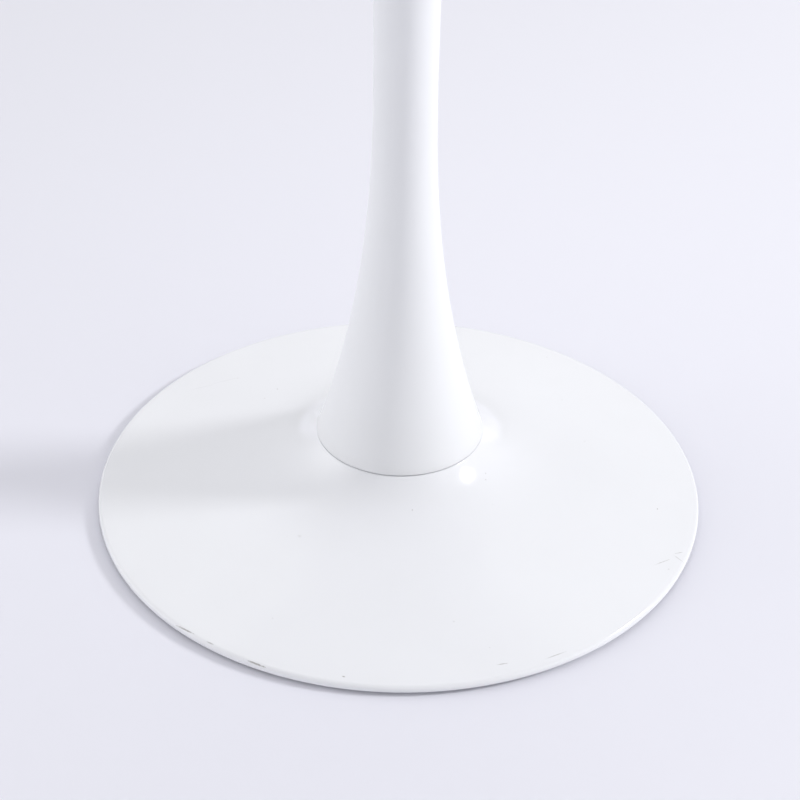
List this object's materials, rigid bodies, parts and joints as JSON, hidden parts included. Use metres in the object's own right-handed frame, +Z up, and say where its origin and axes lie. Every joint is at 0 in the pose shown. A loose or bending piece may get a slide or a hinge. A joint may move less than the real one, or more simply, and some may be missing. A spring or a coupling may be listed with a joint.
{
  "type": "round pedestal table",
  "caption": "Round table top on a single flared column with a wide low dished base, held together by one central tie rod.",
  "frame": {"origin": "on the floor, under the middle of the column", "axes": "+Z up along the column's axis; +X and +Y level, the locating pins lie on X"},
  "size_m": [0.8, 0.8, 0.74],
  "materials": {
    "top_lacquer": "satin white lacquer on fibreboard",
    "base_lacquer": "gloss white stoved lacquer",
    "column_lacquer": "satin white stoved lacquer",
    "plate_lacquer": "satin white lacquer",
    "cast_iron": "black primed casting",
    "plain_steel": "turned steel",
    "zinc_steel": "zinc plated",
    "brass": "plain brass",
    "rubber": "matt black"
  },
  "bodies": {
    "root": {"table_top": "top_lacquer", "top_plate": "plate_lacquer", "top_insert_1": "brass", "top_insert_2": "brass", "top_insert_3": "brass", "top_insert_4": "brass", "top_insert_5": "brass", "top_insert_6": "brass", "top_screw_1": "zinc_steel", "top_screw_2": "zinc_steel", "top_screw_3": "zinc_steel", "top_screw_4": "zinc_steel", "top_screw_5": "zinc_steel", "top_screw_6": "zinc_steel", "head_nut": "zinc_steel", "head_washer": "zinc_steel", "tie_rod": "zinc_steel", "foot_nut": "zinc_steel", "foot_spring_washer": "zinc_steel", "foot_washer": "zinc_steel", "column_shell": "column_lacquer", "column_head_plate": "plain_steel", "column_foot_plate": "plain_steel", "locating_pin_1": "plain_steel", "locating_pin_2": "plain_steel", "seam_gasket": "rubber", "base_shell": "base_lacquer", "bottom_plate": "plate_lacquer", "plate_screw_1": "zinc_steel", "plate_screw_2": "zinc_steel", "plate_screw_3": "zinc_steel", "plate_screw_4": "zinc_steel", "hub_plate": "plain_steel", "ballast_casting": "cast_iron", "floor_ring": "rubber"}
  },
  "joints": []
}
